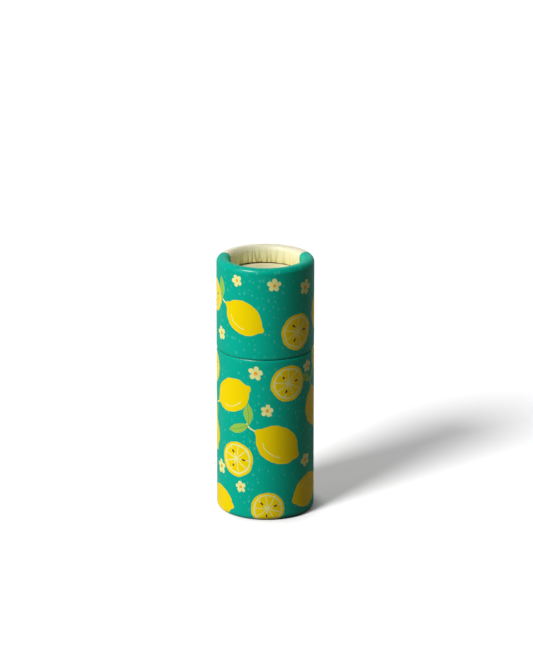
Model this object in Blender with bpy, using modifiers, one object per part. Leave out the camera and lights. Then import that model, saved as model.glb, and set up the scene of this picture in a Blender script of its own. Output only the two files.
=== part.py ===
"""A push-up lip balm tube made of paperboard, standing closed on its base.

The body is a board tube in a printed paper wrap, rolled in at the base. A thinner neck tube is
glued inside it and stands proud to guide the cap. In the neck a board piston carries the balm:
a finger in the base pushes it up. The cap is a second board tube with the same wrap, rolled in
at the top round a paper-faced disc, and it pulls straight off the neck.

The base stands on Z = 0 and every piece is turned about the Z axis. Lengths are in metres.
"""

import math

import bpy

COLLECTION_NAME = "lip_balm_tube"

# Driving dimensions of the outside
OUTER_DIAMETER = 0.0240
BODY_HEIGHT = 0.0414
CAP_HEIGHT = 0.0228
SEAM_GAP = 0.0003

# Thickness of each board and paper layer
WRAP_THICKNESS = 0.0002
TUBE_WALL = 0.0010
NECK_WALL = 0.0008
NECK_WRAP_THICKNESS = 0.00015
LINER_THICKNESS = 0.00015

# The roll at the rim and at the base, which both tubes share
ROLL_INNER_RADIUS = 0.0002
ROLL_LAND = 0.0004
TURN_IN_DEPTH = 0.0041

# Discs that close the cap
FACING_DROP = 0.0002
FACING_THICKNESS = 0.0005
FACING_EDGE_GAP = 0.00025
FACING_EDGE_RADIUS = 0.0003
CAP_DISC_THICKNESS = 0.0012

# The neck above the body, and its lead-in edge
NECK_HEADROOM = 0.0042
NECK_LEAD_IN = 0.0004

# Piston and balm
PISTON_DISC_THICKNESS = 0.0015
PISTON_COLLAR_WALL = 0.0008
PISTON_COLLAR_HEIGHT = 0.0060
FILL_DEPTH = 0.0056
STICK_DOME_RISE = 0.0006
STICK_EDGE_RADIUS = 0.0015

# Clearances
GLUE_LINE = 0.0001
SEAT_GAP = 0.0003
RUNNING_CLEARANCE = 0.0001

# How finely round shapes are divided
TURN_STEPS = 40
ROLL_ARC_STEPS = 4
BEND_ARC_STEPS = 2
EDGE_ARC_STEPS = 3
DOME_STEPS = 3
POLE_WELD_DISTANCE = 0.000001

# Heights of the two tubes
OVERALL_HEIGHT = BODY_HEIGHT + SEAM_GAP + CAP_HEIGHT
CAP_MOUTH_HEIGHT = BODY_HEIGHT + SEAM_GAP

# Radii, from the printed wrap inwards to the balm
OUTER_RADIUS = OUTER_DIAMETER / 2
COVER_DEPTH = WRAP_THICKNESS + GLUE_LINE
TUBE_RADIUS = OUTER_RADIUS - COVER_DEPTH
TUBE_BORE_RADIUS = TUBE_RADIUS - TUBE_WALL
CAP_LINER_RADIUS = TUBE_BORE_RADIUS - GLUE_LINE
CAP_BORE_RADIUS = CAP_LINER_RADIUS - LINER_THICKNESS
NECK_WRAP_RADIUS = CAP_BORE_RADIUS - RUNNING_CLEARANCE
NECK_RADIUS = NECK_WRAP_RADIUS - NECK_WRAP_THICKNESS - GLUE_LINE
NECK_LINER_RADIUS = NECK_RADIUS - NECK_WALL - GLUE_LINE
NECK_BORE_RADIUS = NECK_LINER_RADIUS - LINER_THICKNESS
PISTON_RADIUS = NECK_BORE_RADIUS - RUNNING_CLEARANCE

# The roll: both layers bend round the same centres, and the wrap lies outside the board
TUBE_ROLL_RADIUS = ROLL_INNER_RADIUS + TUBE_WALL
WRAP_ROLL_RADIUS = TUBE_ROLL_RADIUS + COVER_DEPTH
RECESS_RADIUS = OUTER_RADIUS - 2 * WRAP_ROLL_RADIUS - ROLL_LAND

# Heights inside the cap, from its rim down
FACING_TOP_HEIGHT = OVERALL_HEIGHT - TURN_IN_DEPTH - FACING_DROP
CAP_DISC_TOP_HEIGHT = FACING_TOP_HEIGHT - FACING_THICKNESS - GLUE_LINE
CAP_DISC_UNDER_HEIGHT = CAP_DISC_TOP_HEIGHT - CAP_DISC_THICKNESS
CAP_LINING_TOP_HEIGHT = CAP_DISC_UNDER_HEIGHT - GLUE_LINE
CAP_LINING_UNDER_HEIGHT = CAP_LINING_TOP_HEIGHT - LINER_THICKNESS
CAP_LINER_TOP_HEIGHT = CAP_LINING_UNDER_HEIGHT - GLUE_LINE

# Heights inside the body, from the base up: the turned-in edge carries the neck and the piston
NECK_BASE_HEIGHT = TURN_IN_DEPTH + SEAT_GAP
NECK_RIM_HEIGHT = CAP_LINING_UNDER_HEIGHT - NECK_HEADROOM
COLLAR_BASE_HEIGHT = TURN_IN_DEPTH + SEAT_GAP
PISTON_DISC_HEIGHT = COLLAR_BASE_HEIGHT + PISTON_COLLAR_HEIGHT + GLUE_LINE
PUSH_FACE_TOP_HEIGHT = PISTON_DISC_HEIGHT - GLUE_LINE
PISTON_FACING_HEIGHT = PISTON_DISC_HEIGHT + PISTON_DISC_THICKNESS + GLUE_LINE
STICK_BASE_HEIGHT = PISTON_FACING_HEIGHT + LINER_THICKNESS + GLUE_LINE
STICK_TOP_HEIGHT = NECK_RIM_HEIGHT - FILL_DEPTH


def clear_scene():
    for item in list(bpy.data.objects):
        bpy.data.objects.remove(item, do_unlink=True)


def material(name, colour, roughness):
    """A Principled material with the piece's plain colour, as linear red, green and blue."""
    made = bpy.data.materials.new(name)
    made.use_nodes = True
    shader = made.node_tree.nodes["Principled BSDF"]
    shader.inputs["Base Color"].default_value = (*colour, 1.0)
    shader.inputs["Roughness"].default_value = roughness
    shader.inputs["Metallic"].default_value = 0.0
    return made


def arc(centre, radius, start, end, steps):
    """Points of an arc in the profile plane, with angles in degrees from +X towards +Z."""
    points = []
    for step in range(steps + 1):
        angle = math.radians(start + (end - start) * step / steps)
        points.append((centre[0] + radius * math.cos(angle), centre[1] + radius * math.sin(angle)))
    return points


def sleeve_profile(outer_radius, wall, height):
    """The section of a plain tube that stands on its own local zero."""
    inner_radius = outer_radius - wall
    return [(outer_radius, height), (outer_radius, 0), (inner_radius, 0), (inner_radius, height)]


def rolled_profile(outer_radius, wall, roll_radius, height, turned_in):
    """The section of a tube whose far edge is rolled in and runs back down inside it.

    The open mouth lies at local zero and the roll's crest at the given height. The turned-in
    leg ends at the height turned_in.
    """
    bend = height - roll_radius
    outer_centre = (outer_radius - roll_radius, bend)
    inner_centre = (outer_centre[0] - ROLL_LAND, bend)
    leg_radius = inner_centre[0] - roll_radius
    inside_roll = roll_radius - wall
    section = [(outer_radius, 0)]
    section += arc(outer_centre, roll_radius, 0, 90, ROLL_ARC_STEPS)
    section += arc(inner_centre, roll_radius, 90, 180, ROLL_ARC_STEPS)
    section += [(leg_radius, turned_in), (leg_radius + wall, turned_in)]
    section += arc(inner_centre, inside_roll, 180, 90, BEND_ARC_STEPS)
    section += arc(outer_centre, inside_roll, 90, 0, BEND_ARC_STEPS)
    section.append((outer_radius - wall, 0))
    return section[::-1]


def rolled_base_profile(outer_radius, wall, roll_radius, height, turned_in):
    """The same tube the other way up: its roll lies at local zero and its mouth at the top."""
    upright = rolled_profile(outer_radius, wall, roll_radius, height, height - turned_in)
    return [(radius, height - level) for radius, level in reversed(upright)]


def disc_profile(radius, thickness, edge_radius=0):
    """The section of a disc from its top centre to its under centre, with an eased top edge."""
    if edge_radius:
        edge = arc((radius - edge_radius, thickness - edge_radius), edge_radius, 90, 0, EDGE_ARC_STEPS)
    else:
        edge = [(radius, thickness)]
    return [(0, thickness), *edge, (radius, 0), (0, 0)]


def stick_profile(radius, height):
    """The section of the balm: a shallow dome, a round edge and a straight side."""
    shoulder = radius - STICK_EDGE_RADIUS
    section = []
    for step in range(DOME_STEPS):
        share = step / DOME_STEPS
        section.append((shoulder * share, height - STICK_DOME_RISE * share**2))
    edge_centre = (shoulder, height - STICK_DOME_RISE - STICK_EDGE_RADIUS)
    section += arc(edge_centre, STICK_EDGE_RADIUS, 90, 0, EDGE_ARC_STEPS)
    return section + [(radius, 0), (0, 0)]


def turned(name, section, base_height, finish, carrier, closed=True):
    """One turned solid: its section is a wire at +X, and a Screw modifier sweeps it about Z."""
    count = len(section)
    edges = [(index, index + 1) for index in range(count - 1)]
    if closed:
        edges.append((count - 1, 0))
    mesh = bpy.data.meshes.new(name)
    mesh.from_pydata([(radius, 0, level) for radius, level in section], edges, [])
    piece = bpy.data.objects.new(name, mesh)
    piece.parent = carrier
    piece.location.z = base_height - (carrier.location.z if carrier else 0)
    mesh.materials.append(finish)
    screw = piece.modifiers.new("turn", "SCREW")
    screw.axis = "Z"
    screw.angle = math.tau
    screw.steps = TURN_STEPS
    screw.render_steps = TURN_STEPS
    screw.use_merge_vertices = True
    screw.merge_threshold = POLE_WELD_DISTANCE
    screw.use_smooth_shade = True
    bpy.data.collections[COLLECTION_NAME].objects.link(piece)


def carrier_at(name, height):
    """An empty on the Z axis that carries one moving group along its slide."""
    empty = bpy.data.objects.new(name, None)
    empty.location.z = height
    bpy.data.collections[COLLECTION_NAME].objects.link(empty)
    return empty


def make_body(finishes):
    """The fixed group: rolled outer tube, its printed wrap, and the neck that stands inside."""
    turned(
        "body_tube",
        rolled_base_profile(
            TUBE_RADIUS, TUBE_WALL, TUBE_ROLL_RADIUS, BODY_HEIGHT - COVER_DEPTH, TURN_IN_DEPTH - COVER_DEPTH
        ),
        COVER_DEPTH,
        finishes["board"],
        None,
    )
    turned(
        "body_wrap",
        rolled_base_profile(OUTER_RADIUS, WRAP_THICKNESS, WRAP_ROLL_RADIUS, BODY_HEIGHT, TURN_IN_DEPTH),
        0,
        finishes["print"],
        None,
    )
    neck_height = NECK_RIM_HEIGHT - NECK_BASE_HEIGHT
    neck_section = [
        (NECK_RADIUS, neck_height - NECK_LEAD_IN),
        (NECK_RADIUS, 0),
        (NECK_RADIUS - NECK_WALL, 0),
        (NECK_RADIUS - NECK_WALL, neck_height),
        (NECK_RADIUS - NECK_LEAD_IN, neck_height),
    ]
    turned("neck_tube", neck_section, NECK_BASE_HEIGHT, finishes["board"], None)
    turned(
        "neck_wrap",
        sleeve_profile(NECK_WRAP_RADIUS, NECK_WRAP_THICKNESS, neck_height - NECK_LEAD_IN),
        NECK_BASE_HEIGHT,
        finishes["white_paper"],
        None,
    )
    turned(
        "neck_liner",
        sleeve_profile(NECK_LINER_RADIUS, LINER_THICKNESS, neck_height),
        NECK_BASE_HEIGHT,
        finishes["greaseproof"],
        None,
    )


def make_piston(finishes):
    """The group that a finger pushes up: collar, disc, its two papers and the balm on top."""
    slide = carrier_at("piston_slide", COLLAR_BASE_HEIGHT)
    turned(
        "piston_collar",
        sleeve_profile(PISTON_RADIUS, PISTON_COLLAR_WALL, PISTON_COLLAR_HEIGHT),
        COLLAR_BASE_HEIGHT,
        finishes["board"],
        slide,
    )
    turned(
        "piston_disc",
        disc_profile(PISTON_RADIUS, PISTON_DISC_THICKNESS),
        PISTON_DISC_HEIGHT,
        finishes["board"],
        slide,
        closed=False,
    )
    turned(
        "push_face",
        disc_profile(PISTON_RADIUS - PISTON_COLLAR_WALL - GLUE_LINE, LINER_THICKNESS),
        PUSH_FACE_TOP_HEIGHT - LINER_THICKNESS,
        finishes["cream_paper"],
        slide,
        closed=False,
    )
    turned(
        "piston_facing",
        disc_profile(PISTON_RADIUS, LINER_THICKNESS),
        PISTON_FACING_HEIGHT,
        finishes["greaseproof"],
        slide,
        closed=False,
    )
    turned(
        "balm_stick",
        stick_profile(PISTON_RADIUS, STICK_TOP_HEIGHT - STICK_BASE_HEIGHT),
        STICK_BASE_HEIGHT,
        finishes["balm"],
        slide,
        closed=False,
    )


def make_cap(finishes):
    """The group that pulls off: rolled tube, printed wrap, lining sleeve and the end discs."""
    slide = carrier_at("cap_slide", CAP_MOUTH_HEIGHT)
    turned(
        "cap_tube",
        rolled_profile(
            TUBE_RADIUS, TUBE_WALL, TUBE_ROLL_RADIUS, CAP_HEIGHT - COVER_DEPTH, CAP_HEIGHT - TURN_IN_DEPTH
        ),
        CAP_MOUTH_HEIGHT,
        finishes["board"],
        slide,
    )
    turned(
        "cap_wrap",
        rolled_profile(
            OUTER_RADIUS, WRAP_THICKNESS, WRAP_ROLL_RADIUS, CAP_HEIGHT, CAP_HEIGHT - TURN_IN_DEPTH
        ),
        CAP_MOUTH_HEIGHT,
        finishes["print"],
        slide,
    )
    turned(
        "cap_liner",
        sleeve_profile(CAP_LINER_RADIUS, LINER_THICKNESS, CAP_LINER_TOP_HEIGHT - CAP_MOUTH_HEIGHT),
        CAP_MOUTH_HEIGHT,
        finishes["white_paper"],
        slide,
    )
    turned(
        "cap_disc_facing",
        disc_profile(RECESS_RADIUS - FACING_EDGE_GAP, FACING_THICKNESS, FACING_EDGE_RADIUS),
        FACING_TOP_HEIGHT - FACING_THICKNESS,
        finishes["cream_paper"],
        slide,
        closed=False,
    )
    turned(
        "cap_disc",
        disc_profile(CAP_LINER_RADIUS, CAP_DISC_THICKNESS),
        CAP_DISC_UNDER_HEIGHT,
        finishes["board"],
        slide,
        closed=False,
    )
    turned(
        "cap_disc_lining",
        disc_profile(CAP_LINER_RADIUS, LINER_THICKNESS),
        CAP_LINING_UNDER_HEIGHT,
        finishes["greaseproof"],
        slide,
        closed=False,
    )


clear_scene()
bpy.context.scene.collection.children.link(bpy.data.collections.new(COLLECTION_NAME))
finishes = {
    "print": material("printed_wrap", (0.0, 0.44, 0.31), 0.38),
    "cream_paper": material("cream_paper", (0.86, 0.80, 0.56), 0.6),
    "white_paper": material("white_paper", (0.82, 0.81, 0.77), 0.65),
    "greaseproof": material("greaseproof_paper", (0.72, 0.66, 0.52), 0.4),
    "board": material("grey_board", (0.42, 0.34, 0.24), 0.85),
    "balm": material("balm", (0.86, 0.70, 0.38), 0.35),
}
make_body(finishes)
make_piston(finishes)
make_cap(finishes)
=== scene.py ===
# %% [markdown]
# # A paperboard lip balm tube
#
# This lesson dresses a small push-up tube: a lower tube and a pull-off cap, each a board tube in a
# printed paper wrap. The wrap is the piece that the eye meets, so most of the lesson is about how
# paper turns over a rolled rim and how a flat print is drawn with shader maths. The construction
# comes first, as a fixed frame that nothing here moves.

import math

import bmesh
import bpy
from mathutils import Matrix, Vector, noise


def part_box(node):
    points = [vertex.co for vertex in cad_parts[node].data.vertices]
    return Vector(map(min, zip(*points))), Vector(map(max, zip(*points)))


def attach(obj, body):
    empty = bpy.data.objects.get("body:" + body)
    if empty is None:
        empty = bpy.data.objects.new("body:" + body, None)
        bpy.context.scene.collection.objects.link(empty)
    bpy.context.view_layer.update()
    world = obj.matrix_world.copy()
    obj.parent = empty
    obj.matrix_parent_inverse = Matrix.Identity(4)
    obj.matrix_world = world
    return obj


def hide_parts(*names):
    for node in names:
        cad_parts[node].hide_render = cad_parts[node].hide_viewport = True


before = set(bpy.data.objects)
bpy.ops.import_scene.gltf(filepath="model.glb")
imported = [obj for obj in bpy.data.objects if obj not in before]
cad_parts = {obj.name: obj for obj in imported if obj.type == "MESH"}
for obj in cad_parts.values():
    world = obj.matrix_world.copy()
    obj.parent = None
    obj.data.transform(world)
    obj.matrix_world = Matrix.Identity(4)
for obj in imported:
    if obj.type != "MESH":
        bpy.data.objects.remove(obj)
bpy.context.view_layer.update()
MM = 0.001

# %% [markdown]
# ## The camera
#
# The photograph is a portrait frame taken from a metre away with a long lens, looking down by about
# eighteen degrees. A camera is placed by where it stands and how it tilts, and its lens follows from
# the focal length in pixels, because the sensor's long side spans the frame's 666 rows.

# %% Camera
FRAME_WIDTH_PX = 533
FRAME_HEIGHT_PX = 666
FOCAL_PX = 4203
AXIS_COLUMN_PX = 265.36
CAMERA_DISTANCE = 0.985
CAMERA_HEIGHT = 0.3589
CAMERA_TILT = 0.3087
SENSOR_MM = 36
NEAREST_SEEN = 0.01

camera_data = bpy.data.cameras.new("camera")
camera_data.sensor_width = SENSOR_MM
camera_data.lens = FOCAL_PX * camera_data.sensor_width / FRAME_HEIGHT_PX
camera_data.shift_x = (FRAME_WIDTH_PX / 2 - AXIS_COLUMN_PX) / FRAME_HEIGHT_PX
camera_data.clip_start = NEAREST_SEEN
camera = bpy.data.objects.new("camera", camera_data)
camera.location = (0, -CAMERA_DISTANCE, CAMERA_HEIGHT)
camera.rotation_euler = (math.pi / 2 - CAMERA_TILT, 0, 0)
scene = bpy.context.scene
scene.collection.objects.link(camera)
scene.camera = camera
scene.view_settings.view_transform = "Standard"
print("lens:", round(camera_data.lens, 1), "mm")

# %% [markdown]
# ## Node maths as Python
#
# A shader is a tree of small sums. Written node by node it can't be read, so one class wraps a
# socket and turns each Python operator into the Math node that does it. Anything that isn't plain
# arithmetic, such as a noise or a ramp, comes from the one method `make`. The same class serves
# geometry trees, because they share these nodes.

# %% A socket that does arithmetic
class Wire:
    """A socket in a node tree. An operator on it adds a Math node and returns that node's output."""

    def __init__(self, tree, socket=None):
        self.tree = tree
        self.socket = socket

    def make(self, kind, settings=None, sockets=None, output=0):
        """Adds a node: its settings first, then the values or links of its sockets."""
        node = self.tree.nodes.new(kind)
        for name, value in (settings or {}).items():
            setattr(node, name, value)
        for name, value in (sockets or {}).items():
            if isinstance(value, Wire):
                self.tree.links.new(value.socket, node.inputs[name])
            else:
                node.inputs[name].default_value = value
        return Wire(self.tree, node.outputs[output])

    def math(self, operation, *values, clamp=False):
        settings = {"operation": operation, "use_clamp": clamp}
        return self.make("ShaderNodeMath", settings, dict(enumerate(values)))

    def __add__(self, other):
        return self.math("ADD", self, other)

    def __sub__(self, other):
        return self.math("SUBTRACT", self, other)

    def __rsub__(self, other):
        return self.math("SUBTRACT", other, self)

    def __mul__(self, other):
        return self.math("MULTIPLY", self, other)

    def __truediv__(self, other):
        return self.math("DIVIDE", self, other)

    def __rtruediv__(self, other):
        return self.math("DIVIDE", other, self)

    def __abs__(self):
        return self.math("ABSOLUTE", self)

    __radd__ = __add__
    __rmul__ = __mul__

    def within(self, low, high):
        """Zero at low, one at high, straight in between and clamped outside."""
        return self.math("MULTIPLY_ADD", self, 1 / (high - low), -low / (high - low), clamp=True)

    def clamped(self):
        """The value kept between zero and one."""
        return self.math("ADD", self, 0, clamp=True)

    def smaller(self, other):
        return self.math("MINIMUM", self, other)

    def larger(self, other):
        return self.math("MAXIMUM", self, other)

    def above(self, other):
        return self.math("GREATER_THAN", self, other)

    def sine(self):
        return self.math("SINE", self)

    def cosine(self):
        return self.math("COSINE", self)

    def root(self):
        return self.math("SQRT", self)

    def parts(self):
        """The X, Y and Z of a vector."""
        node = self.make("ShaderNodeSeparateXYZ", sockets={"Vector": self}).socket.node
        return [Wire(self.tree, socket) for socket in node.outputs]

    def vector(self, x, y, z=0):
        return self.make("ShaderNodeCombineXYZ", sockets={"X": x, "Y": y, "Z": z})

    def vector_math(self, operation, *values):
        return self.make("ShaderNodeVectorMath", {"operation": operation}, dict(enumerate(values)))

    def blend(self, first, second):
        """One colour where this value is zero, another where it is one, and a mix in between."""
        sockets = {0: self, 6: first, 7: second}
        return self.make("ShaderNodeMix", {"data_type": "RGBA"}, sockets, output=2)

    def paint(self, mask, colour):
        """This colour with another laid over it where the mask is one."""
        return mask.blend(self, colour)

    def noise(self, scale, detail=2, roughness=0.5):
        sockets = {"Vector": self, "Scale": scale, "Detail": detail, "Roughness": roughness}
        return self.make("ShaderNodeTexNoise", sockets=sockets)


# %% [markdown]
# A colour picked on a screen is coded for the eye, while a shader counts light. One short function
# turns the one into the other, so that every colour below can be written as it looks.

# %% Colours as they look on screen
def linear(red, green, blue):
    """A colour picked on screen, 0 to 255, as the linear values that a shader takes."""
    channels = []
    for value in (red, green, blue):
        share = value / 255
        channels.append(share / 12.92 if share <= 0.04045 else ((share + 0.055) / 1.055) ** 2.4)
    return (*channels, 1)


print("a middle grey on screen is", round(linear(128, 128, 128)[0], 2), "of full light")

# %% [markdown]
# ## How paper turns over a rim
#
# The printed sheet is glued round a board tube. At the rim the board is rolled in, and the paper
# follows it over the top and down into the recess. There the circle is smaller than the sheet, so
# the spare paper gathers in pleats.
#
# A turned profile could make the roll but not the pleats, and modelling each pleat by hand would
# take days. The form follows a rule, so it is a Geometry Nodes tree instead: a flat grid, whose
# width goes round the tube and whose height runs along the paper, is bent by sums on its position.
# With distance s along the paper, the wall uses up s first, then the outer quarter of the roll, the
# flat land, the inner quarter and the leg. Each stretch is a clamp of what the last one left over.

# %% Sizes of the sheet, read from the frame
OUTER_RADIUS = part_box("cap_wrap")[1].x
CAP_MOUTH, RIM_HEIGHT = (corner.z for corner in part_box("cap_wrap"))
BODY_BASE, BODY_MOUTH = (corner.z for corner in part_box("body_wrap"))
PAPER_THICKNESS = 0.2 * MM
RIM_ROLL, RIM_LAND = 1.3 * MM, 0.45 * MM
BASE_ROLL, BASE_LAND = 1.3 * MM, 0.8 * MM
TURN_IN_DEPTH = 4.22 * MM

# The cap's paper comes down further than its solid, so that the seam is a fine dark line
SEAM_CLOSE = 0.20 * MM
print("outer radius", round(OUTER_RADIUS / MM, 2), "mm, rim roll", round(RIM_ROLL / MM, 2), "mm")

# %% [markdown]
# A tree's sizes are its named inputs, so that one tree can make both wraps. A whole number becomes
# an integer socket, and any other number a float.

# %% Named inputs of the sheet
SHEET_SIZES = {
    "Radius": OUTER_RADIUS,
    "Mouth height": 0.0,
    "Length": 0.02,
    "Direction": 1.0,
    "Roll radius": RIM_ROLL,
    "Land": RIM_LAND,
    "Turn-in": TURN_IN_DEPTH,
    "Pleat depth": 0.46 * MM,
    "Pleat count": 38.0,
    "Short cut": 0.30 * MM,
    "Notch": 0.06 * MM,
    "Edge ease": 0.10 * MM,
    "Ease length": 0.30 * MM,
    "Lap step": 0.10 * MM,
    "Seed": 3.0,
    "Columns": 448,
    "Rows": 84,
}


def tree_inputs(tree, sizes):
    """Gives a geometry tree its named inputs and returns a wire for each."""
    for name, value in sizes.items():
        kind = "NodeSocketInt" if isinstance(value, int) else "NodeSocketFloat"
        tree.interface.new_socket(name=name, in_out="INPUT", socket_type=kind).default_value = value
    tree.interface.new_socket(name="Finish", in_out="INPUT", socket_type="NodeSocketMaterial")
    tree.interface.new_socket(name="Geometry", in_out="OUTPUT", socket_type="NodeSocketGeometry")
    entry = tree.nodes.new("NodeGroupInput")
    return {socket.name: Wire(tree, socket) for socket in entry.outputs if socket.name}


print("inputs of the sheet:", ", ".join(SHEET_SIZES))

# %% [markdown]
# The pleats come from a Voronoi texture read along a circle, so the pattern closes on itself. The
# distance to its borders makes sharp creases there and round pillows of loose paper between them.
# They grow from nothing just inside the crest to full depth near the cut edge, as gathered paper
# does. They are strongest at the back left, where more paper was pushed together.

# %% Pleats
PLEAT_START, PLEAT_FULL = 0.10, 0.78
PLEAT_LEAN, LEAN_SCALE = 0.30, 1.6
DRIFT_SCALE, PILLOW_SCALE = 1.3, 2.4
CREASE_WIDTH = 0.30
TO_BACK_LEFT = 0.7
EVERYWHERE, BY_DRIFT, BY_SIDE = 0.20, 0.35, 0.45


def pleats(desk, size, angle, run_in):
    """How far the pleats have grown at a point, how near a crease it lies and how far it stands off."""
    sway = desk.vector(angle.cosine(), angle.sine(), 5.0).noise(LEAN_SCALE) - 0.5
    lean = angle + run_in * PLEAT_LEAN * sway
    sine, cosine = lean.sine(), lean.cosine()
    drift = desk.vector(cosine, sine, size["Seed"]).noise(DRIFT_SCALE).within(0.3, 0.7)
    ring = size["Pleat count"] / (2 * math.pi)
    place = desk.vector(cosine * ring, sine * ring, size["Seed"] + run_in * 0.7)
    sockets = {"Vector": place, "Scale": 1.0}
    from_crease = desk.make("ShaderNodeTexVoronoi", {"feature": "DISTANCE_TO_EDGE"}, sockets)
    hollow = 1 - from_crease.within(0, CREASE_WIDTH)
    crease = hollow * hollow
    side = (0 - cosine * TO_BACK_LEFT - sine * TO_BACK_LEFT).larger(0)
    growth = run_in.within(PLEAT_START, PLEAT_FULL)
    growth = growth * (0.2 + growth * 0.8) * (EVERYWHERE + drift * BY_DRIFT + side * BY_SIDE)
    pillow = desk.vector(cosine * ring, sine * ring, run_in * 0.3).noise(PILLOW_SCALE) - 0.5
    return growth, crease, growth * (1 - crease) * (1 + pillow * 0.8) * size["Pleat depth"]


print("pleats grow over", round((PLEAT_FULL - PLEAT_START) * 100), "% of the way in")

# %% [markdown]
# The tree's last nodes store on the sheet what its print will read: its flat coordinates, its
# creases and how far it is turned in, which place the painted shade in the recess. Then they bend
# the grid and weld its two sides where they meet.

# %% The tree's last nodes
SHEET_WELD = 0.001 * MM


def finish_sheet(desk, sheet, bent, marks, finish):
    """Stores what the print reads, bends the grid, and ends in a plain surface with its finish."""
    for name, kind, domain, value in marks:
        settings = {"data_type": kind, "domain": domain}
        sockets = {"Geometry": sheet, "Name": name, "Value": value}
        sheet = desk.make("GeometryNodeStoreNamedAttribute", settings, sockets)
    sheet = desk.make("GeometryNodeSetPosition", sockets={"Geometry": sheet, "Position": bent})
    sockets = {"Geometry": sheet, "Distance": SHEET_WELD}
    sheet = desk.make("GeometryNodeMergeByDistance", sockets=sockets)
    sheet = desk.make("GeometryNodeSetShadeSmooth", sockets={0: sheet})
    sheet = desk.make("GeometryNodeRealizeInstances", sockets={0: sheet})
    sheet = desk.make("GeometryNodeSetMaterial", sockets={"Geometry": sheet, "Material": finish})
    exit_node = desk.tree.nodes.new("NodeGroupOutput")
    desk.tree.links.new(sheet.socket, exit_node.inputs["Geometry"])


# %% [markdown]
# The tree itself follows the paper. Few rows are enough on the plain wall, so a quarter of them
# cover it, crowded towards its cut edge, and the others go to the roll and the leg.

# %% The rolled sheet as a Geometry Nodes tree
WALL_ROWS_SHARE = 0.25
QUARTER_TURN = math.pi / 2
EDGE_WAVES, EDGE_WANDER = 4, 0.06
SHORT_TO_BACK, SHORT_TO_LEFT = 0.79, 0.61
LAP_START, LAP_END = 0.36, 0.4999


def rolled_sheet_tree():
    """Bends a flat grid into a wrap's wall, its roll and the leg that is turned in."""
    tree = bpy.data.node_groups.new("rolled_sheet", "GeometryNodeTree")
    size = tree_inputs(tree, SHEET_SIZES)
    desk = Wire(tree)
    columns, rows = size["Columns"] + 1, size["Rows"] + 1
    sockets = {"Size X": 1, "Size Y": 1, "Vertices X": columns, "Vertices Y": rows}
    grid = desk.make("GeometryNodeMeshGrid", sockets=sockets)
    across, along, _ = desk.make("GeometryNodeInputPosition").parts()

    # Distance along the paper, for each row of the grid
    roll = size["Roll radius"]
    wall = size["Length"] - roll
    quarter = roll * QUARTER_TURN
    hidden = quarter * 2 + size["Land"] + size["Turn-in"] - roll
    share = along + 0.5
    on_wall = (share / WALL_ROWS_SHARE).clamped()
    on_wall = on_wall * on_wall * on_wall
    past_wall = share.within(WALL_ROWS_SHARE, 1)
    distance = wall * on_wall + hidden * past_wall

    # Each stretch takes what the ones before it left over
    left = hidden * past_wall
    first_turn = (left / roll).smaller(QUARTER_TURN)
    left = (left - quarter).larger(0)
    land = left.smaller(size["Land"])
    left = (left - size["Land"]).larger(0)
    second_turn = (left / roll).smaller(QUARTER_TURN)
    leg = (left - quarter).larger(0)
    angle = across * (2 * math.pi) * size["Direction"]
    radius = size["Radius"] - roll * (1 - first_turn.cosine()) - land - roll * second_turn.sine()
    level = wall * on_wall + roll * first_turn.sine()

    # The pleats stand off the leg, whose cut edge wanders and ends early at the back left
    run_in = left / (hidden - quarter)
    growth, crease, stand_off = pleats(desk, size, angle, run_in)
    radius = radius - stand_off
    sine, cosine = angle.sine(), angle.cosine()
    waves = desk.vector(cosine * EDGE_WAVES, sine * EDGE_WAVES, size["Seed"] + 7)
    uneven = waves.noise(1.0, detail=3) - 0.5
    level = level - roll * (1 - second_turn.cosine()) - leg * (1 + uneven * EDGE_WANDER)
    short = (0 - cosine * SHORT_TO_BACK - sine * SHORT_TO_LEFT).larger(0)
    level = level + growth * (short * short * short * size["Short cut"] + crease * size["Notch"])

    # The cut edge at the mouth is eased. The lap joint at the back leaves a small step in the wall,
    # which the rolling presses flat towards the crest
    ease = (1 - distance / size["Ease length"]).clamped()
    lap = (0 - across * size["Direction"]).within(LAP_START, LAP_END) * (1 - first_turn / QUARTER_TURN)
    radius = radius - ease * ease * size["Edge ease"] - lap * size["Lap step"]
    height = size["Mouth height"] + level * size["Direction"]
    bent = desk.vector(radius * sine, 0 - radius * cosine, height)

    # The print's own coordinates, in millimetres of paper from the front and from the base
    up_mm = (size["Mouth height"] + distance * size["Direction"]) / MM
    print_mm = desk.vector(angle * size["Radius"] / MM, up_mm)
    # The creases and the turn-in also place the print's painted shade and painted bounce tint
    marks = (
        ("print_mm", "FLOAT2", "CORNER", print_mm),
        ("crease", "FLOAT", "POINT", crease * growth),
        ("turned_in", "FLOAT", "POINT", run_in.within(0.1, 1.0)),
    )
    finish_sheet(desk, grid, bent, marks, size["Finish"])
    return tree


sheet_tree = rolled_sheet_tree()
print("rolled sheet tree:", len(sheet_tree.nodes), "nodes")

# %% [markdown]
# A tree only gives an open skin, as thin as a surface. Solidify gives it the thickness of paper,
# inwards, and closes the cut edges. The evaluated result is then kept as a plain mesh.

# %% From a tree to a plain mesh
def plain_mesh(name, source):
    """Replaces an object and its live modifiers by a new one that holds the finished mesh."""
    bpy.context.view_layer.update()
    graph = bpy.context.evaluated_depsgraph_get()
    mesh = bpy.data.meshes.new_from_object(source.evaluated_get(graph), depsgraph=graph)
    mesh.name = name
    bpy.data.objects.remove(source, do_unlink=True)
    piece = bpy.data.objects.new(name, mesh)
    scene.collection.objects.link(piece)
    return piece


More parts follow.
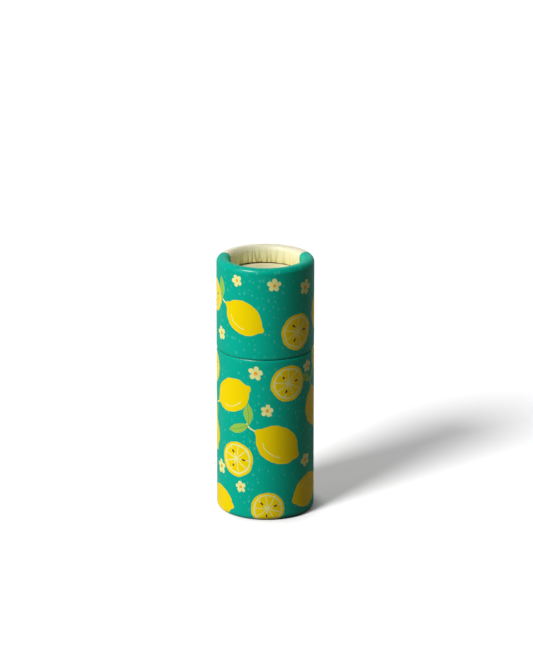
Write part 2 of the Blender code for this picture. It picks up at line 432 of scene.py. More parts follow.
def rolled_sheet(name, finish, sizes):
    """A printed wrap: the tree's open sheet, made as thick as paper and closed at its cut edges."""
    source = bpy.data.objects.new(name + "_source", bpy.data.meshes.new(name + "_source"))
    scene.collection.objects.link(source)
    source.data.materials.append(finish)
    bend = source.modifiers.new("bend", "NODES")
    bend.node_group = sheet_tree
    for item in sheet_tree.interface.items_tree:
        if item.in_out == "INPUT" and item.name in sizes:
            bend[item.identifier] = sizes[item.name]
        if item.name == "Finish":
            bend[item.identifier] = finish
    wall = source.modifiers.new("paper", "SOLIDIFY")
    wall.thickness = PAPER_THICKNESS
    wall.offset = -1
    wall.use_rim = True
    return plain_mesh(name, source)


def describe(piece):
    """Prints how many faces a piece has, and its lowest and highest corner in millimetres."""
    corners = []
    for pick in (min, max):
        sides = (pick(vertex.co[axis] for vertex in piece.data.vertices) for axis in range(3))
        corners.append([round(side / MM, 2) for side in sides])
    print(piece.name, len(piece.data.polygons), "faces,", *corners)


# %% [markdown]
# ## The print
#
# The wrap carries a flat, bright pattern: lemons, slices, leaves and small blossoms on teal, with
# pale flecks in the ground, and down the back a cream panel with two thin frames. It could be a
# painted image, but a pattern made of sums stays sharp at any size. Each motif is a distance: below
# zero inside its outline and above zero outside. Its paper is seen through a Mapping node, which
# brings millimetres to the motif's own frame, where it is one unit in half length.
#
# A motif is used many times, so it becomes a node group: a rubber stamp, whose inputs are the
# ground that it is pressed on, its place, its half length and its turn.

# %% Colours of the print
TEAL = linear(0, 183, 156)
DEEP_TEAL = linear(0, 178, 151)
PALE_TEAL = linear(92, 212, 188)
YELLOW = linear(255, 224, 0)
CREAM = linear(247, 246, 160)
PANEL_CREAM = linear(241, 235, 207)
LIME = linear(164, 211, 84)
LEAF_VEIN = linear(96, 178, 88)
ORANGE = linear(250, 178, 52)
PIP_BROWN = linear(92, 58, 22)
print("teal as light:", [round(value, 2) for value in TEAL])

# %% Outlines and stamps
EDGE_SOFTNESS_MM = 0.055
STAMP_INPUTS = {"Ground": "Color", "Paper": "Vector", "Place": "Vector", "Half": "Float", "Turn": "Float"}


def inside(distance, half):
    """One inside an outline and zero outside, from a distance in units of the motif's half length."""
    return (0.5 - distance * half / EDGE_SOFTNESS_MM).clamped()


def span(x, y):
    """The distance of a point from the motif's centre."""
    return (x * x + y * y).root()


def stamp(draw):
    """A node group that draws one motif over a ground colour."""
    tree = bpy.data.node_groups.new(draw.__name__, "ShaderNodeTree")
    for name, kind in STAMP_INPUTS.items():
        tree.interface.new_socket(name=name, in_out="INPUT", socket_type="NodeSocket" + kind)
    tree.interface.new_socket(name="Colour", in_out="OUTPUT", socket_type="NodeSocketColor")
    entry = tree.nodes.new("NodeGroupInput")
    given = {socket.name: Wire(tree, socket) for socket in entry.outputs if socket.name}
    desk = Wire(tree)
    sockets = {
        "Vector": given["Paper"], "Location": given["Place"],
        "Rotation": desk.vector(0, 0, given["Turn"]),
        "Scale": desk.vector(given["Half"], given["Half"], 1),
    }
    x, y, _ = desk.make("ShaderNodeMapping", {"vector_type": "TEXTURE"}, sockets).parts()
    drawn = draw(given["Ground"], x, y, given["Half"])
    tree.links.new(drawn.socket, tree.nodes.new("NodeGroupOutput").inputs["Colour"])
    return tree


# %% Fruit
def lemon(ground, x, y, half):
    """A whole fruit: an ellipse drawn out to a small tip at each end, with a shine along one side."""
    length, girth = 0.87, 0.68
    tip_place, tip_size, tip_blend = 0.86, 0.14, 0.22
    shine_length, shine_girth, shine_half = 0.62, 0.44, 0.018
    body = (span(x / length, y / girth) - 1) * 0.75
    tip = span(abs(x) - tip_place, y * 1.15) - tip_size
    outline = body.math("SMOOTH_MIN", body, tip, tip_blend)
    shine = inside(abs(span(x / shine_length, y / shine_girth) - 1) * 0.5 - shine_half, half)
    upper_side = inside(0.16 - y - x * 0.25, half)
    middle = inside(abs(x - 0.1) - 0.42, half)
    return ground.paint(inside(outline, half), YELLOW).paint(shine * upper_side * middle, CREAM)


def lemon_slice(ground, x, y, half):
    """A round slice: rind, a pale ring of pith, pale lines between the segments and three pips."""
    segments, pips = 9, 3
    pith_place, pith_half = 0.82, 0.045
    spoke_half, spoke_end, hub = 0.026, 0.8, 0.1
    pip_place, pip_length, pip_width = 0.46, 0.115, 0.052
    reach = span(x, y)
    bearing = y.math("ARCTAN2", y, x)
    sector = bearing * (pips / (2 * math.pi)) + 0.5
    beside = (sector.math("FRACT", sector) - 0.5) * (2 * math.pi / pips)
    pip = span((reach - pip_place) / pip_length, beside * reach / pip_width) - 1
    spoke = abs((bearing * (segments / 2)).sine()) * reach * (2 / segments) - spoke_half
    spoke = spoke.larger(reach - spoke_end)
    pith = abs(reach - pith_place) - pith_half
    pale = spoke.smaller(pith).smaller(reach - hub)
    flesh = ground.paint(inside(reach - 1, half), YELLOW).paint(inside(pale, half), CREAM)
    return flesh.paint(inside(pip * pip_width, half), PIP_BROWN)


# %% Leaf, blossom and stem
def leaf(ground, x, y, half):
    """A pointed leaf with a midrib and side veins."""
    width, midrib_half, veins_apart = 0.38, 0.022, 13
    blade = (abs(y) - (1 - x * x) * width).larger(abs(x) - 1)
    slant = (x - abs(y) * 0.8) * veins_apart
    side_veins = abs(slant.sine()) * 0.075 - 0.009
    veins = (abs(y) - midrib_half).smaller(side_veins).larger(blade + 0.05)
    return ground.paint(inside(blade, half), LIME).paint(inside(veins, half), LEAF_VEIN)


def blossom(ground, x, y, half):
    """Five round petals about an orange eye."""
    petals, waist, bulge, eye = 5, 0.42, 0.56, 0.24
    bearing = y.math("ARCTAN2", y, x)
    lobes = abs((bearing * (petals / 2)).cosine()).root()
    reach = span(x, y)
    outline = reach - waist - lobes * bulge
    return ground.paint(inside(outline, half), CREAM).paint(inside(reach - eye, half), ORANGE)


def stem(ground, x, y, half):
    """A thin bowed line, 0.4 mm wide at any length."""
    bow, half_width_mm = 0.22, 0.2
    line = abs(y - (1 - x * x) * bow) - half_width_mm / half
    return ground.paint(inside(line.larger(abs(x) - 1), half), CREAM)


# %% [markdown]
# The layout is a list that a designer would keep: for each motif its place on the paper in
# millimetres, right of the front and above the base, then its half length and its turn. A fruit
# hangs from a stem with two leaves, and those are worked out from the fruit, so that no stem floats.
# Stems are laid first and fruit last, so that fruit covers their ends.

# %% Layout of the print
LEMONS = (
    (-9.2, 31.6, 6.2, 206), (3.2, 19.6, 6.8, 146), (15.4, 27.2, 5.6, 100), (12.6, 6.2, 6.0, 20),
    (-18.8, 20.4, 5.6, 118), (-13.8, 3.4, 5.4, 172), (-5.8, 52.0, 6.0, 150), (18.6, 51.8, 5.4, 66),
)
SLICES = (
    (6.0, 35.2, 4.6, 12), (-7.6, 15.4, 4.5, 0), (0.6, 3.2, 4.2, 20), (8.6, 48.0, 4.6, 5),
    (-19.0, 37.0, 4.4, 30), (-17.4, 55.4, 4.2, 16), (18.8, 39.6, 3.9, 8),
)
BLOSSOMS = (
    (-2.4, 38.2, 1.9, 10), (11.6, 14.2, 1.8, 40), (-13.4, 12.0, 1.9, 22), (11.4, 58.8, 2.1, 0),
    (-13.2, 46.6, 1.8, 30), (2.2, 60.6, 1.7, 16), (18.8, 14.4, 1.9, 50), (12.2, 38.4, 1.6, 20),
    (-7.4, 61.2, 1.6, 44), (0.4, 28.6, 1.7, 8), (-20.4, 46.4, 1.7, 12), (-6.4, 8.4, 1.5, 30),
)
print("lemons:", len(LEMONS), "slices:", len(SLICES), "blossoms:", len(BLOSSOMS))

# %% Stems and leaves
STEM_SHARE, LEAF_SHARE, LEAF_SPREAD = 0.24, 0.46, 52
STEM_SINK, JOINT_REACH = 0.7, 1.2


def off(place, turn, distance):
    """The place at a distance from another, in a direction given in degrees."""
    heading = math.radians(turn)
    return place[0] + distance * math.cos(heading), place[1] + distance * math.sin(heading)


def sprays(fruits):
    """The stem and the two leaves that each fruit hangs from."""
    stems, leaves = [], []
    for across, up, half, turn in fruits:
        stem_half, leaf_half = half * STEM_SHARE, half * LEAF_SHARE
        stems.append((*off((across, up), turn, half + stem_half * STEM_SINK), stem_half, turn))
        joint = off((across, up), turn, half + stem_half * JOINT_REACH)
        for side in (1, -1):
            leaf_turn = turn + side * LEAF_SPREAD
            leaves.append((*off(joint, leaf_turn, leaf_half), leaf_half, leaf_turn))
    return stems, leaves


stem_places, leaf_places = sprays(LEMONS)
LAYOUT = (
    (stem, stem_places), (leaf, leaf_places),
    (lemon, LEMONS), (lemon_slice, SLICES), (blossom, BLOSSOMS),
)
print("motifs in the print:", sum(len(places) for _, places in LAYOUT))

# %% [markdown]
# The ground isn't one flat teal. It drifts between two, and pale flecks lie on it, thicker in some
# places than in others. A fleck is the middle of a Voronoi cell, and the cell's own random colour
# says whether it is there and how big it is.

# %% The ground and its flecks
CLOUD_SCALE = 0.16
FLECK_STRETCH = (0.80, 0.58, 0)
FLECK_SIZE, FLECK_GROWTH, FLECK_BLEND = 0.19, 0.12, 0.17
PATCH_SCALE = 0.09


def speckled_teal(desk, flat):
    """Two close teals in soft clouds, under pale flecks."""
    ground = flat.noise(CLOUD_SCALE, detail=3).within(0.3, 0.7).blend(TEAL, DEEP_TEAL)
    settings = {"voronoi_dimensions": "2D"}
    sockets = {"Vector": flat.vector_math("MULTIPLY", flat, FLECK_STRETCH), "Scale": 1.0}
    from_middle = desk.make("ShaderNodeTexVoronoi", settings, sockets)
    chance, girth, _ = desk.make("ShaderNodeTexVoronoi", settings, sockets, "Color").parts()
    patches = flat.noise(PATCH_SCALE, detail=1).within(0.35, 0.65)
    fleck = (girth * FLECK_GROWTH + FLECK_SIZE - from_middle).within(0, FLECK_BLEND)
    fleck = fleck * chance.above(0.25 + patches * 0.5)
    return ground.paint(fleck * (0.12 + girth * 0.30), PALE_TEAL)


print("a fleck's cell:", *(round(1 / stretch, 2) for stretch in FLECK_STRETCH[:2]), "mm")

# %% The back panel
PANEL_EDGES_MM = (-22.6, 23.2)
PANEL_FRAME_MM = 24.0
PANEL_LINE_MM = 0.16
PANEL_FIELDS_MM = ((3.2, 38.2), (44.6, 60.8))
PANEL_BLEND_MM, LINE_BLEND_MM = 0.04, 0.03
HALF_WAY_ROUND_MM = math.pi * OUTER_RADIUS / MM


def with_back_panel(colour, flat):
    """Lays the cream panel over the back, with its two thin frames."""
    u, v, _ = flat.parts()
    left, right = PANEL_EDGES_MM
    beyond = (u - right).larger(left - u).within(-PANEL_BLEND_MM, PANEL_BLEND_MM)
    colour = colour.paint(beyond, PANEL_CREAM)
    from_back = HALF_WAY_ROUND_MM - abs(u)
    width = HALF_WAY_ROUND_MM - PANEL_FRAME_MM
    for low, high in PANEL_FIELDS_MM:
        edge = (from_back - width).larger(abs(v - (low + high) / 2) - (high - low) / 2)
        line = (abs(edge) - PANEL_LINE_MM).within(LINE_BLEND_MM, -LINE_BLEND_MM)
        colour = colour.paint(line, TEAL)
    return colour


print("paper round the tube:", round(2 * HALF_WAY_ROUND_MM, 1), "mm")

# %% [markdown]
# A print like this is drawn by hand, so the paper's coordinates sway a little under the motifs and
# no outline is quite true. In the recess, light bounces from fold to fold and takes on the paper's
# colour, more than plain shading gives, so that bounce is painted into the print as shade: it
# loses a little of each colour, blue most, deeper in the recess, and more along the creases.

# %% The whole print
SWAY_SCALE, SWAY_MM = 0.4, 0.7
# Painted bounce tint: the share of red, green and blue that the print loses where it is fully turned in
PAINTED_BOUNCE_TINT = (0.02, 0.08, 0.42)
# Painted shade: the share of each colour that the print loses in the deepest creases
PAINTED_CREASE_SHADE = (0.25, 0.28, 0.45)


def with_painted_fold_shade(desk, colour):
    """Paints shade into the print: a painted bounce tint deeper into the recess, and painted shade along
    the creases.
    """
    for name, losses in (("turned_in", PAINTED_BOUNCE_TINT), ("crease", PAINTED_CREASE_SHADE)):
        depth = desk.make("ShaderNodeAttribute", {"attribute_name": name}, output="Fac")
        kept = desk.vector(*(1 - depth * loss for loss in losses))
        colour = colour.vector_math("MULTIPLY", colour, kept)
    return colour


def printed_colour(desk):
    """The whole print as a colour, from the sheet's own coordinates."""
    flat = desk.make("ShaderNodeUVMap", {"uv_map": "print_mm"})
    sockets = {"Vector": flat, "Scale": SWAY_SCALE, "Detail": 1}
    sway = desk.make("ShaderNodeTexNoise", sockets=sockets, output="Color")
    sway = sway.vector_math("SUBTRACT", sway, (0.5, 0.5, 0.5))
    paper = flat.vector_math("MULTIPLY_ADD", sway, (SWAY_MM, SWAY_MM, 0), flat)
    colour = speckled_teal(desk, flat)
    for motif, places in LAYOUT:
        settings = {"node_tree": stamp(motif)}
        for across, up, half, turn in places:
            sockets = {
                "Ground": colour, "Paper": paper, "Place": (across, up, 0),
                "Half": half, "Turn": math.radians(turn),
            }
            colour = desk.make("ShaderNodeGroup", settings, sockets)
    return with_painted_fold_shade(desk, with_back_panel(colour, flat))


# %% [markdown]
# ## Finishes
#
# Each finish is one function, so that its numbers sit beside the reason for them. Constants go on
# the shader itself, and what varies feeds colour, roughness or the bump that bends the light. A
# noise's scale counts per metre, so that 1500 makes fibres of about two thirds of a millimetre.

# %% A start for every finish
def start_finish(name, constants):
    """A material with its constants set. Returns it, its shader and a wire with the place on a piece."""
    made = bpy.data.materials.new(name)
    made.use_nodes = True
    shader = made.node_tree.nodes["Principled BSDF"]
    for socket, value in constants.items():
        shader.inputs[socket].default_value = value
    return made, shader, Wire(made.node_tree).make("ShaderNodeTexCoord", output="Object")


def feed(shader, sockets):
    """Links wires to the shader's sockets."""
    for name, wire in sockets.items():
        wire.tree.links.new(wire.socket, shader.inputs[name])


def bump(height, depth, strength):
    """A normal bent by a height from 0 to 1 that stands for a real depth in metres."""
    sockets = {"Strength": strength, "Distance": depth, "Height": height}
    return height.make("ShaderNodeBump", sockets=sockets)


# %% Printed and plain paper
def printed_paper():
    """Matt print under a thin satin varnish, which is the coat: nearly smooth, with a faint tooth."""
    made, shader, place = start_finish("printed_paper", {
        "Specular IOR Level": 0.0, "Roughness": 0.6, "Coat Weight": 0.25, "Coat Roughness": 0.26,
    })
    fibres = place.noise(2600, detail=3, roughness=0.6)
    mottle = place.noise(420, detail=2)
    feed(shader, {
        "Base Color": printed_colour(place),
        "Roughness": 0.52 + mottle * 0.10 + fibres * 0.08,
        "Normal": bump(fibres + mottle * 1.5, 0.01 * MM, 0.6),
    })
    return made


def plain_paper(name, light, dark, roughness):
    """Uncoated paper: a matte sheet whose fibres show as a soft cloud and a fine tooth."""
    made, shader, place = start_finish(name, {"Specular IOR Level": 0.3, "Roughness": roughness})
    cloud = place.noise(380, detail=4, roughness=0.6)
    fibres = place.noise(1500, detail=3, roughness=0.65)
    ground = cloud.within(0.3, 0.7).blend(light, dark)
    feed(shader, {
        "Base Color": ground.paint(fibres.within(0.62, 0.78) * 0.25, dark),
        "Roughness": roughness - 0.08 + fibres * 0.16,
        "Normal": bump(fibres + cloud * 0.6, 0.02 * MM, 0.7),
    })
    return made


# %% Board
PLY = 0.25 * MM


def grey_board():
    """Wound board: brown-grey pulp with darker flecks, and its plies as rings on a cut edge."""
    made, shader, place = start_finish("grey_board", {"Specular IOR Level": 0.2, "Roughness": 0.9})
    x, y, _ = place.parts()
    plies = (span(x, y) * (2 * math.pi / PLY)).sine()
    pulp = place.noise(900, detail=5, roughness=0.7)
    specks = place.noise(2400, detail=2).within(0.66, 0.72)
    ground = pulp.within(0.3, 0.7).blend(linear(196, 176, 146), linear(150, 132, 106))
    ground = ground.paint(plies.within(0.5, 1.0) * 0.35, linear(120, 104, 84))
    feed(shader, {
        "Base Color": ground.paint(specks * 0.6, linear(84, 70, 58)),
        "Roughness": 0.82 + pulp * 0.16,
        "Normal": bump(pulp + plies * 0.15, 0.05 * MM, 0.8),
    })
    return made


# %% Paper wound in a spiral
JOINT_TONE = linear(150, 138, 118)


def spiral_paper(name, light, dark, roughness, pitch, seam_depth):
    """A ply wound round a tube in a spiral, so a fine butt joint climbs it at an even slope."""
    made, shader, place = start_finish(name, {"Specular IOR Level": 0.3, "Roughness": roughness})
    x, y, z = place.parts()
    climb = z / pitch + y.math("ARCTAN2", y, x) / (2 * math.pi)
    climb = climb.math("FRACT", climb)
    joint = (abs(climb - 0.5) * pitch / MM).within(0.16, 0.04)
    cloud = place.noise(350, detail=4, roughness=0.6)
    fibres = place.noise(1700, detail=3, roughness=0.6)
    feed(shader, {
        "Base Color": cloud.within(0.3, 0.7).blend(light, dark).paint(joint * 0.55, JOINT_TONE),
        "Roughness": roughness - 0.06 + fibres * 0.12,
        "Normal": bump(fibres * 0.4 + cloud * 0.3 - joint, seam_depth, 0.8),
    })
    return made


# %% Balm's finish
def balm():
    """Waxy balm: light sinks a little into it, and it cooled with a faint ripple and a few pits."""
    made, shader, place = start_finish("balm", {
        "Specular IOR Level": 0.45, "Roughness": 0.4, "Subsurface Weight": 0.35,
        "Subsurface Scale": 1.2 * MM, "Subsurface Radius": (1.0, 0.62, 0.30),
    })
    swirl = place.noise(120, detail=3, roughness=0.55)
    grain = place.noise(1400, detail=3, roughness=0.6)
    pits = grain.within(0.70, 0.76)
    ground = swirl.within(0.3, 0.7).blend(linear(247, 232, 178), linear(238, 217, 152))
    feed(shader, {
        "Base Color": ground.paint(pits * 0.5, linear(222, 196, 128)),
        "Roughness": 0.30 + swirl * 0.16 + grain * 0.08,
        "Normal": bump(swirl * 1.5 + grain * 0.3 - pits * 0.6, 0.06 * MM, 0.6),
    })
    return made


# %% All finishes
FINISH = {
    "printed_paper": printed_paper(),
    "cream_paper": plain_paper("cream_paper", linear(250, 244, 208), linear(245, 234, 192), 0.62),
    "grey_board": grey_board(),
    "white_paper": spiral_paper(
        "white_paper", linear(240, 238, 230), linear(228, 225, 214), 0.6, 21 * MM, 0.05 * MM
    ),
    "greaseproof_paper": spiral_paper(
        "greaseproof_paper", linear(226, 214, 188), linear(214, 198, 168), 0.42, 24 * MM, 0.04 * MM
    ),
    "balm": balm(),
}
print("finishes:", ", ".join(FINISH))
print("nodes in the print:", len(FINISH["printed_paper"].node_tree.nodes))

# %% [markdown]
# ## The two wraps
#
# The cap's sheet runs up from its mouth and rolls in at the top. The body's runs down from the seam
# and rolls in at the base: the same tree with its direction reversed.

# %% Wraps
CAP_EDGE = (0.26 * MM, 0.50 * MM)
BODY_EDGE = (0.24 * MM, 0.45 * MM)

for name, body, mouth, far_end, direction, roll, land, (ease, ease_length), seed in (
    ("cap_wrap", "cap", CAP_MOUTH - SEAM_CLOSE, RIM_HEIGHT, 1.0, RIM_ROLL, RIM_LAND, CAP_EDGE, 3.0),
    ("body_wrap", "tube", BODY_MOUTH, BODY_BASE, -1.0, BASE_ROLL, BASE_LAND, BODY_EDGE, 11.0),
):
    sizes = {
        "Mouth height": mouth, "Length": abs(far_end - mouth), "Direction": direction,
        "Roll radius": roll, "Land": land, "Edge ease": ease, "Ease length": ease_length, "Seed": seed,
    }
    piece = rolled_sheet(name + "_paper", FINISH["printed_paper"], sizes)
    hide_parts(name)
    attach(piece, body)
    describe(piece)

# %% [markdown]
# ## Turned pieces
#
# Board tubes, liners, discs and the balm are round, so each is a section swept about the axis. A
# section is a short list of points: straight runs and small arcs where a cut edge is eased. The
# sweep is done with bmesh, and the seam and the poles are welded so that the surface is closed.

# %% Sweeping a section
TURN_STEPS = 160
WELD = 0.0005 * MM
SHARP_ANGLE = math.radians(40)


def arc(centre_radius, centre_level, size, start, end, steps=5):
    """Points on a small arc of a section, with angles in degrees from outwards towards up."""
    points = []
    for step in range(steps + 1):
        angle = math.radians(start + (end - start) * step / steps)
        points.append((centre_radius + size * math.cos(angle), centre_level + size * math.sin(angle)))
    return points


def turned(name, node, body, finish, section, closed=True):
    """Sweeps a section about the axis, puts the piece in its node's place and lets it ride."""
    mesh = bpy.data.meshes.new(name)
    work = bmesh.new()
    points = [work.verts.new((radius, 0, level)) for radius, level in section]
    pairs = zip(points, points[1:] + points[:1] if closed else points[1:])
    edges = [work.edges.new(pair) for pair in pairs]
    bmesh.ops.spin(
        work, geom=points + edges, cent=(0, 0, 0), axis=(0, 0, 1), dvec=(0, 0, 0),
        angle=2 * math.pi, steps=TURN_STEPS, use_merge=True,
    )
    bmesh.ops.remove_doubles(work, verts=work.verts, dist=WELD)
    bmesh.ops.recalc_face_normals(work, faces=work.faces)
    for face in work.faces:
        face.smooth = True
    work.to_mesh(mesh)
    work.free()
    mesh.set_sharp_from_angle(angle=SHARP_ANGLE)
    mesh.materials.append(FINISH[finish])
    piece = bpy.data.objects.new(name, mesh)
    scene.collection.objects.link(piece)
    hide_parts(node)
    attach(piece, body)
    return piece


def ring_of(node):
    """A ring node's outer radius and its lowest and highest level, from the frame."""
    low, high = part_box(node)
    return high.x, low.z, high.z


# %% [markdown]
# The two board tubes are rolled like their wraps, one sheet thickness further in. They show at the
# cap's mouth, at the seam, and as the dark end of the turned-in leg.

# %% Board tubes
TUBE_WALL = 1.0 * MM
BOARD_GAP = 0.1 * MM
INNER_BEND = 0.3 * MM
BOARD_EDGE = 0.25 * MM
OUTER_STEPS, INNER_STEPS = 12, 6

# The board ends this far behind the paper at the seam
BOARD_SHORT = 0.30 * MM


def rolled_board_section(outer, mouth, crest, leg_end, roll, land):
    """The section of a board tube rolled in at its crest, from the mouth round to the leg's end."""
    way = 1 if crest > mouth else -1
    bend = roll - PAPER_THICKNESS - BOARD_GAP
    centre = crest - way * bend
    outer_centre = outer - bend
    inner_centre = outer_centre - land
    inside_bend = max(bend - TUBE_WALL, INNER_BEND)
    inner = outer - TUBE_WALL
    section = [(outer - BOARD_EDGE, mouth), (outer, mouth + way * BOARD_EDGE)]
    section += arc(outer_centre, centre, bend, 0, way * 90, OUTER_STEPS)
    section += arc(inner_centre, centre, bend, way * 90, way * 180, OUTER_STEPS)
    leg = inner_centre - bend
    section += [(leg, leg_end), (leg + TUBE_WALL, leg_end)]
    section += arc(leg + TUBE_WALL + inside_bend, centre, inside_bend, way * 180, way * 90, INNER_STEPS)
    section += arc(inner - inside_bend, centre, inside_bend, way * 90, 0, INNER_STEPS)
    return section + [(inner, mouth + way * BOARD_EDGE), (inner + BOARD_EDGE, mouth)]


outer, low, high = ring_of("cap_tube")
low += BOARD_SHORT - SEAM_CLOSE
section = rolled_board_section(outer, low, high, RIM_HEIGHT - TURN_IN_DEPTH, RIM_ROLL, RIM_LAND)
describe(turned("cap_board_tube", "cap_tube", "cap", "grey_board", section))

outer, low, high = ring_of("body_tube")
high -= BOARD_SHORT
section = rolled_board_section(outer, high, low, BODY_BASE + TURN_IN_DEPTH, BASE_ROLL, BASE_LAND)
describe(turned("body_board_tube", "body_tube", "tube", "grey_board", section))

# %% Neck, liners and piston collar
def sleeve_section(outer, wall, low, high, ease):
    """A plain sleeve with its four edges eased."""
    inner = outer - wall
    return [
        (outer - ease, high), (outer, high - ease), (outer, low + ease), (outer - ease, low),
        (inner + ease, low), (inner, low + ease), (inner, high - ease), (inner + ease, high),
    ]


for name, node, body, finish, wall, ease in (
    ("neck_board_tube", "neck_tube", "tube", "grey_board", 0.8 * MM, 0.18 * MM),
    ("neck_paper_sleeve", "neck_wrap", "tube", "white_paper", 0.15 * MM, 0.04 * MM),
    ("neck_greaseproof_liner", "neck_liner", "tube", "greaseproof_paper", 0.15 * MM, 0.04 * MM),
    ("cap_paper_liner", "cap_liner", "cap", "white_paper", 0.15 * MM, 0.04 * MM),
    ("piston_board_collar", "piston_collar", "piston", "grey_board", 0.8 * MM, 0.15 * MM),
):
    outer, low, high = ring_of(node)
    describe(turned(name, node, body, finish, sleeve_section(outer, wall, low, high, ease)))


# %% Discs
DOME_STEPS = 8

# The facing disc is wider than its solid, so that it meets the pleats all round
FACING_SPREAD = 0.42 * MM


def disc_section(outer, low, high, ease, dome=0.0):
    """A disc with eased edges and, where it has one, a shallow dome."""
    section = []
    for step in range(DOME_STEPS):
        share = step / DOME_STEPS
        section.append(((outer - ease) * share, high - dome * share**2))
    section += arc(outer - ease, high - dome - ease, ease, 90, 0)
    section += arc(outer - ease, low + ease, ease, 0, -90)
    return section + [(0, low)]


for name, node, body, finish, ease, dome, spread in (
    ("cap_end_disc", "cap_disc", "cap", "grey_board", 0.15 * MM, 0.0, 0.0),
    ("cap_end_disc_lining", "cap_disc_lining", "cap", "greaseproof_paper", 0.04 * MM, 0.0, 0.0),
    ("cap_end_disc_facing", "cap_disc_facing", "cap", "cream_paper", 0.06 * MM, 0.03 * MM, FACING_SPREAD),
    ("piston_board_disc", "piston_disc", "piston", "grey_board", 0.15 * MM, 0.0, 0.0),
    ("piston_greaseproof_disc", "piston_facing", "piston", "greaseproof_paper", 0.04 * MM, 0.0, 0.0),
    ("piston_push_face", "push_face", "piston", "cream_paper", 0.04 * MM, 0.0, 0.0),
):
    outer, low, high = ring_of(node)
    section = disc_section(outer + spread, low, high, ease, dome)
    describe(turned(name, node, body, finish, section, closed=False))

# %% [markdown]
# The balm was poured warm and cooled in the tube. It has a straight side where it met the
# greaseproof liner, and a top that sank a little in the middle and holds a faint ripple.

# %% Balm
STICK_EDGE = 1.3 * MM
STICK_STEPS, EDGE_STEPS = 22, 10
TOP_DROP = 0.1 * MM
SINK_DEPTH, SINK_SPREAD = 0.45 * MM, 0.55
SIDE_SHARES = (0.8, 0.6, 0.4, 0.2)
RIPPLE, RIPPLE_SCALE, RIPPLE_REACH = 0.05 * MM, 260, 3 * MM


def balm_section(outer, low, high):
    """The stick's section from the middle of its top, over the rounded edge, to its flat foot."""
    section = []
    for step in range(STICK_STEPS):
        share = step / STICK_STEPS
        sink = SINK_DEPTH * math.exp(-((share / SINK_SPREAD) ** 2))
        section.append(((outer - STICK_EDGE) * share, high - TOP_DROP - sink))
    section += arc(outer - STICK_EDGE, high - TOP_DROP - STICK_EDGE, STICK_EDGE, 90, 0, EDGE_STEPS)
    section += [(outer, low + (high - low) * share) for share in SIDE_SHARES]
    return section + [(outer, low), (0, low)]


outer, low, high = ring_of("balm_stick")
section = balm_section(outer, low, high)
stick = turned("balm_stick_poured", "balm_stick", "piston", "balm", section, closed=False)
for vertex in stick.data.vertices:
    if vertex.co.z > high - RIPPLE_REACH:
        vertex.co.z += RIPPLE * (noise.noise(vertex.co * RIPPLE_SCALE) - 0.6)
describe(stick)

# %% [markdown]
# ## Floor and light
#
# This is a product shot on white, lit from the left front. The floor is white to the camera and
# partly in reflections, through Light Path, yet keeps the tube's shadow, because its white is a part
# glow and a part true diffuse. To other rays it is nearly black, so that it doesn't fill the dark
# side with bounced light. Close to the tube the glow gives way to two soft shades from Ambient
# Occlusion nodes: a wide one, and a narrow one where the tube stands. Both fade out on the lit side.

# %% Floor
FLOOR_SIZE = 6.0
FLOOR_DROP = 0.0001
floor_mesh = bpy.data.meshes.new("floor")
half_floor = FLOOR_SIZE / 2
corners = [(x * half_floor, y * half_floor, 0) for x, y in ((-1, -1), (1, -1), (1, 1), (-1, 1))]
floor_mesh.from_pydata(corners, [], [(0, 1, 2, 3)])
floor = bpy.data.objects.new("floor", floor_mesh)
floor.location.z = -FLOOR_DROP
scene.collection.objects.link(floor)
print("floor:", FLOOR_SIZE, "m across,", round(FLOOR_DROP / MM, 2), "mm under the base")

# %% The floor's white and its shades
FLOOR_GLOW = 0.41
FLOOR_WHITE = 0.50
FLOOR_BOUNCE = 0.031
FLOOR_GLOSS = 0.5
NEARBY = 0.06
NEARBY_SHADE = 0.66
CONTACT = 0.004
CONTACT_RANGE = (0.12, 1.0)
LEAN = (-0.018, 0.006)
SHADE_SAMPLES = {"samples": 8}


def ray_kinds(desk):
    """Wires that are one for the camera's rays, for rays of gloss and for rays through glass."""
    path = desk.make("ShaderNodeLightPath").socket.node
    kinds = ("Is Camera Ray", "Is Glossy Ray", "Is Transmission Ray")
    return [Wire(desk.tree, path.outputs[kind]) for kind in kinds]


floor_finish = bpy.data.materials.new("white_floor")
floor_finish.use_nodes = True
floor_tree = floor_finish.node_tree
floor_tree.nodes.clear()
desk = Wire(floor_tree)
to_camera, to_gloss, through = ray_kinds(desk)
show = (to_camera + to_gloss * FLOOR_GLOSS + through).clamped()
open_sky = desk.make("ShaderNodeAmbientOcclusion", SHADE_SAMPLES, {"Distance": NEARBY}, "AO")
clear = desk.make("ShaderNodeAmbientOcclusion", SHADE_SAMPLES, {"Distance": CONTACT}, "AO")
to_the_right, _, _ = desk.make("ShaderNodeTexCoord", output="Object").parts()
away = to_the_right.within(*LEAN)
nearby = (1 - open_sky) * NEARBY_SHADE * away
touching = (1 - clear.within(*CONTACT_RANGE)) * away
level = FLOOR_BOUNCE + show * (FLOOR_WHITE - FLOOR_BOUNCE)
tone = desk.make("ShaderNodeCombineColor", sockets={"Red": level, "Green": level, "Blue": level})
matte = desk.make("ShaderNodeBsdfDiffuse", sockets={"Color": tone})
glow = show * (1 - nearby) * (1 - touching) * FLOOR_GLOW
glow = desk.make("ShaderNodeEmission", sockets={"Strength": glow})
both = desk.make("ShaderNodeAddShader", sockets={0: matte, 1: glow})
floor_tree.links.new(both.socket, floor_tree.nodes.new("ShaderNodeOutputMaterial").inputs["Surface"])
floor_mesh.materials.append(floor_finish)
print("floor finish:", len(floor_tree.nodes), "nodes")

# %% [markdown]
# The world is white to the camera and nearly dark to everything else. In gloss it shows a pale card
# behind the tube, which lightens the edge of its dark side.

# %% World
AMBIENT = 0.03
BACKDROP_GLOSS = 0.7
BACKDROP_RANGE = (0.2, 0.95)

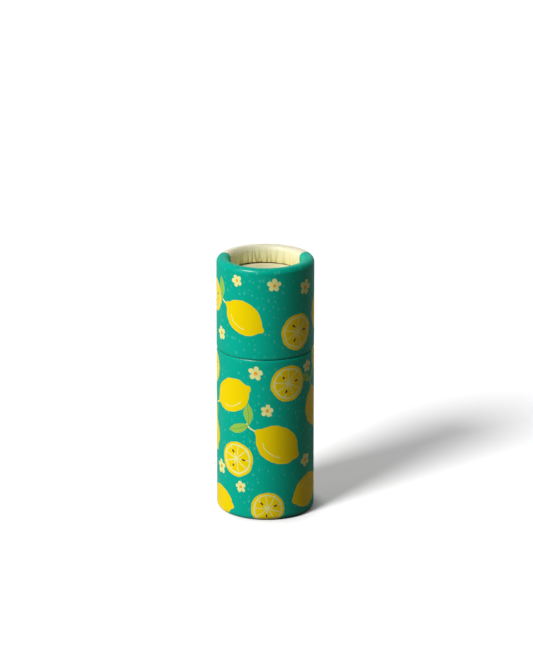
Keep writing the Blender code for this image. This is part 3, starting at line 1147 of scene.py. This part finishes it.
world = bpy.data.worlds.new("studio")
world.use_nodes = True
scene.world = world
desk = Wire(world.node_tree)
to_camera, to_gloss, through = ray_kinds(desk)
_, behind, _ = desk.make("ShaderNodeTexCoord").parts()
backdrop = behind.within(*BACKDROP_RANGE) * BACKDROP_GLOSS
strength = AMBIENT + to_camera * (1 - AMBIENT) + (to_gloss + through) * backdrop
sky = world.node_tree.nodes["Background"]
world.node_tree.links.new(strength.socket, sky.inputs["Strength"])
sky.inputs["Color"].default_value = (1, 1, 1, 1)
print("world:", len(world.node_tree.nodes), "nodes")

# %% [markdown]
# The key is a wide sun, for a shadow with soft edges. It hangs twice on one bearing, once for the
# floor alone and once for all but the floor, because the shadow on the floor is deeper than a plain
# level on the tube gives. A light link by collection keeps them apart.
#
# Boxes do the rest. One overhead opens the recess, one low at the left fills the lit side, a warm
# card at the right lifts the dark side a little, and one behind lights the back for other views. A
# thin strip shows in reflections alone and makes the glint on the rim.

# %% Two suns on one bearing
KEY_BEARING = (-41.2, 35.8)
KEY_STRENGTH = 1.28
FLOOR_KEY_STRENGTH = 7.1
KEY_SPREAD = 18.2
KEY_DISTANCE = 1.0


def direction(azimuth, elevation):
    """From the tube towards a light: azimuth in degrees from the camera's side, positive to the right."""
    turn, rise = math.radians(azimuth), math.radians(elevation)
    return Vector((math.sin(turn) * math.cos(rise), -math.cos(turn) * math.cos(rise), math.sin(rise)))


def lit_by(name, link_state):
    """A light link that names the floor: INCLUDE lights it alone, and EXCLUDE all but it."""
    group = bpy.data.collections.new(name)
    group.objects.link(floor)
    group.collection_objects[0].light_linking.link_state = link_state
    return group


FLOOR_ALONE = lit_by("floor_alone", "INCLUDE")
ALL_BUT_FLOOR = lit_by("all_but_floor", "EXCLUDE")


def hang(name, data, bearing, distance, link=ALL_BUT_FLOOR, in_gloss=False):
    """Aims a lamp at the rim from a bearing. It shows in gloss alone, or in everything but gloss."""
    lamp = bpy.data.objects.new(name, data)
    lamp.location = Vector((0, 0, RIM_HEIGHT)) + direction(*bearing) * distance
    lamp.rotation_euler = direction(*bearing).to_track_quat("Z", "Y").to_euler()
    lamp.visible_glossy = in_gloss
    lamp.visible_diffuse = not in_gloss
    lamp.light_linking.receiver_collection = link
    scene.collection.objects.link(lamp)
    print(name, "from azimuth and elevation", *bearing)


for name, strength, link in (
    ("key", KEY_STRENGTH, ALL_BUT_FLOOR),
    ("floor_key", FLOOR_KEY_STRENGTH, FLOOR_ALONE),
):
    key_data = bpy.data.lights.new(name, "SUN")
    key_data.energy = strength
    key_data.angle = math.radians(KEY_SPREAD)
    hang(name, key_data, KEY_BEARING, KEY_DISTANCE, link)

# %% Boxes, card and strip
WHITE_LIGHT = (1, 1, 1)
WARM_LIGHT = (1, 0.80, 0.55)

for name, bearing, distance, width, height, power, colour, in_gloss in (
    ("rim_strip", (-55, 53), 0.8, 0.30, 0.035, 11.5, WHITE_LIGHT, True),
    ("top_box", (0, 90), 1.2, 0.45, 0.45, 3.3, WHITE_LIGHT, False),
    ("side_box", (-65, 14), 1.1, 0.50, 0.50, 8.0, WHITE_LIGHT, False),
    ("warm_card", (62, 24), 1.2, 0.60, 0.60, 1.07, WARM_LIGHT, False),
    ("back_fill", (170, 17), 1.3, 0.80, 0.80, 12.0, WHITE_LIGHT, False),
):
    box_data = bpy.data.lights.new(name, "AREA")
    box_data.shape = "RECTANGLE"
    box_data.size, box_data.size_y = width, height
    box_data.energy = power
    box_data.color = colour
    hang(name, box_data, bearing, distance, in_gloss=in_gloss)
